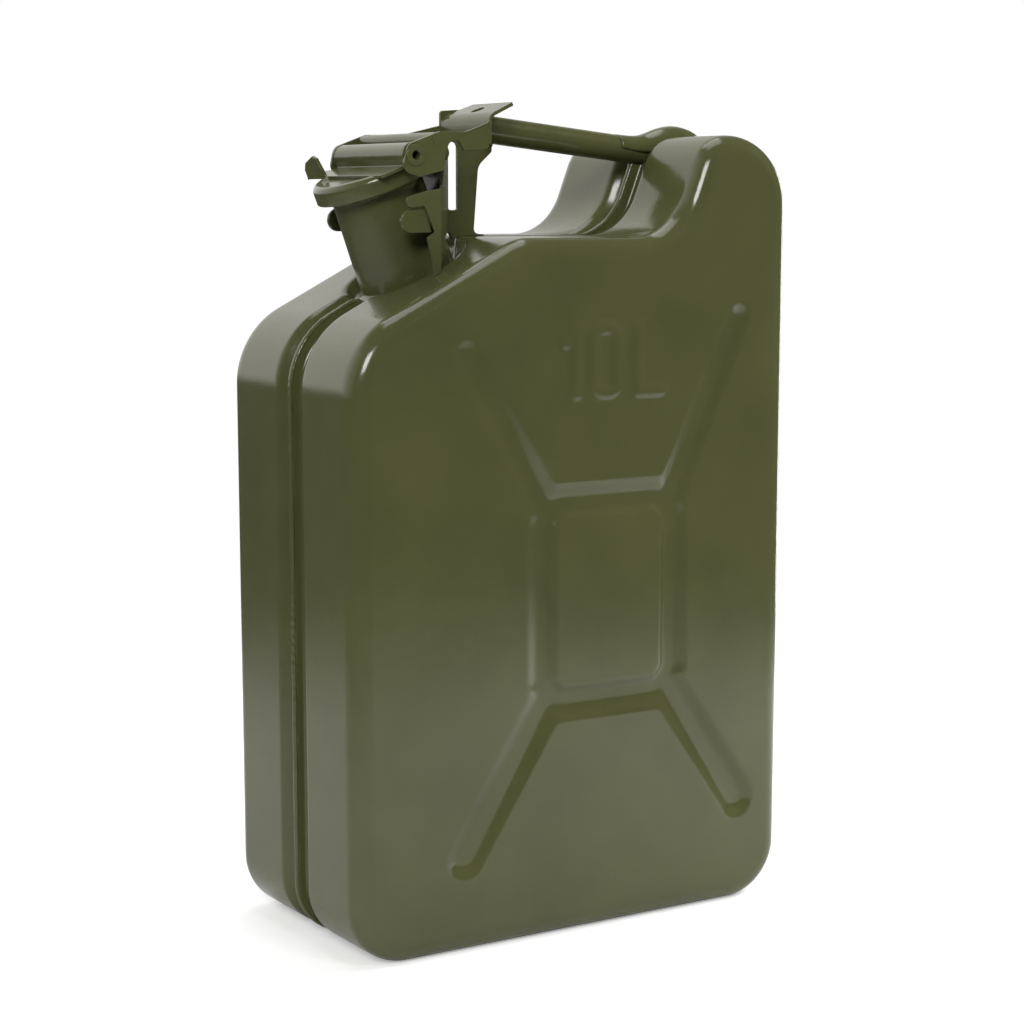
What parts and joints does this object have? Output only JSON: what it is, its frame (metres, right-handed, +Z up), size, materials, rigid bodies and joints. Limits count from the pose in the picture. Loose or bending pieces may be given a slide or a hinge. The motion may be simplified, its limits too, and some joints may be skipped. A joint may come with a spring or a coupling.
{
  "type": "jerry can",
  "caption": "Upright pressed steel fuel can with a slanted shoulder, rear hump, a tubular carrying handle and a neck closed by a hinged cap with a lever.",
  "frame": {"origin": "middle of the base, on the plane the can stands on", "axes": "+X along the wide faces from the spout to the rear end of the handle, +Y across the thickness, +Z up"},
  "size_m": [0.25, 0.128, 0.4051],
  "materials": {
    "tank_paint": "gloss olive paint",
    "closure_paint": "gloss olive paint",
    "seal_rubber": "matte",
    "inner_steel": "zinc plated"
  },
  "bodies": {
    "tank": {"shell_near": "tank_paint", "shell_far": "tank_paint", "seam_bead": "tank_paint", "neck_tube": "tank_paint", "neck_rim": "tank_paint", "neck_weld": "tank_paint", "breather_tube": "inner_steel", "breather_clip": "inner_steel", "hinge_bracket": "tank_paint", "catch_lugs": "tank_paint", "hinge_pin": "closure_paint", "handle_tube": "tank_paint", "handle_saddle": "tank_paint", "handle_strut": "tank_paint", "strut_welds": "tank_paint"},
    "lid": {"lid_cap": "closure_paint", "lid_seal": "seal_rubber", "seal_retainer": "inner_steel", "retainer_rivet": "inner_steel", "lid_bridge": "closure_paint"},
    "lever": {"lever": "closure_paint", "lever_pin": "closure_paint", "lever_washers": "closure_paint", "lever_crossbar": "closure_paint", "crossbar_rod": "closure_paint"}
  },
  "joints": [
    {"name": "lid_hinge", "type": "hinge", "parent": "tank", "child": "lid", "pos_m": [-0.04755, 0, 0.38078], "axis": [0, 1, 0], "range_deg": [0, 100]},
    {"name": "lever_pivot", "type": "hinge", "parent": "lid", "child": "lever", "pos_m": [-0.07588, 0, 0.37902], "axis": [0, 1, 0], "range_deg": [-100, 0]}
  ],
  "couplings": [
    {"joint": "lid_hinge", "follows": "lever_pivot", "ratio": -1}
  ]
}
